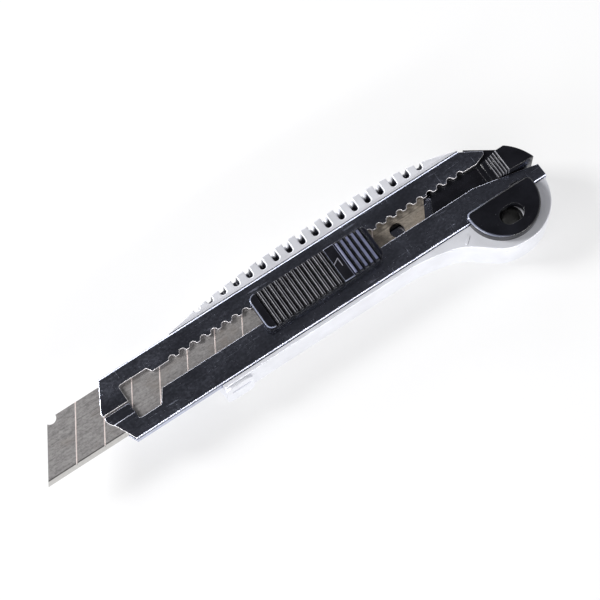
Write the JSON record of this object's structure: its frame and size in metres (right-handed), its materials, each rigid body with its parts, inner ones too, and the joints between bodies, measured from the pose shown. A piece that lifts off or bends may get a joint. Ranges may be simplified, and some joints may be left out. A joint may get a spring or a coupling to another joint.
{
  "type": "utility knife",
  "caption": "Snap-off utility knife: steel blade channel in a die-cast handle with grip grooves, ribbed thumb slide, spare-blade magazine and round tail with a lanyard hole.",
  "frame": {"origin": "on the flat underside of the handle, on the centre line of the steel channel, 115 mm behind the tip of the extended blade", "axes": "+X along the channel towards the tail, +Y towards the grooved back, +Z out of the slotted steel face; the cutting edge looks to -Y"},
  "size_m": [0.182, 0.0431, 0.0192],
  "materials": {
    "die_cast_silver": "fine satin cast metal",
    "channel_steel": "polished, finely scratched",
    "blade_steel": "ground along its length",
    "fastener_steel": "plain",
    "spring_steel": "plain",
    "black_plastic": "semi-gloss moulded",
    "blue_black_plastic": "gloss moulded"
  },
  "bodies": {
    "handle": {"blade_channel": "channel_steel", "channel_rivets": "fastener_steel", "handle_casting": "die_cast_silver", "tail_cap": "black_plastic", "cap_screws": "fastener_steel", "lanyard_sleeve": "black_plastic", "follower_spring": "spring_steel"},
    "slider": {"slide_carrier": "black_plastic", "thumb_slide": "black_plastic", "carriage_plate": "spring_steel", "carriage_rivets": "fastener_steel", "blade_pin": "fastener_steel", "working_blade": "blade_steel", "button_spring": "spring_steel", "pawl_spring": "spring_steel"},
    "lock_pawl": {"lock_pawl": "spring_steel"},
    "reload_button": {"reload_button": "blue_black_plastic"},
    "magazine_plug": {"magazine_plug": "black_plastic"},
    "follower": {"follower_plate": "spring_steel", "spare_blade_upper": "blade_steel", "spare_blade_lower": "blade_steel"}
  },
  "joints": [
    {"name": "blade_slide", "type": "slide", "parent": "handle", "child": "slider", "axis": [1, 0, 0], "range_m": [-0.03456, 0.0384]},
    {"name": "pawl_lock", "type": "slide", "parent": "slider", "child": "lock_pawl", "axis": [0, 1, 0], "range_m": [0, 0.00125], "deforming": ["pawl_spring"]},
    {"name": "reload_press", "type": "slide", "parent": "slider", "child": "reload_button", "axis": [0, 0, -1], "range_m": [0, 0.0005], "stiffness_N_per_m": 200, "deforming": ["button_spring"]},
    {"name": "magazine_draw", "type": "slide", "parent": "handle", "child": "magazine_plug", "axis": [1, 0, 0], "range_m": [0, 0.04]},
    {"name": "follower_press", "type": "slide", "parent": "handle", "child": "follower", "axis": [0, 0, -1], "range_m": [0, 0.0003], "stiffness_N_per_m": 400, "deforming": ["follower_spring"]}
  ]
}
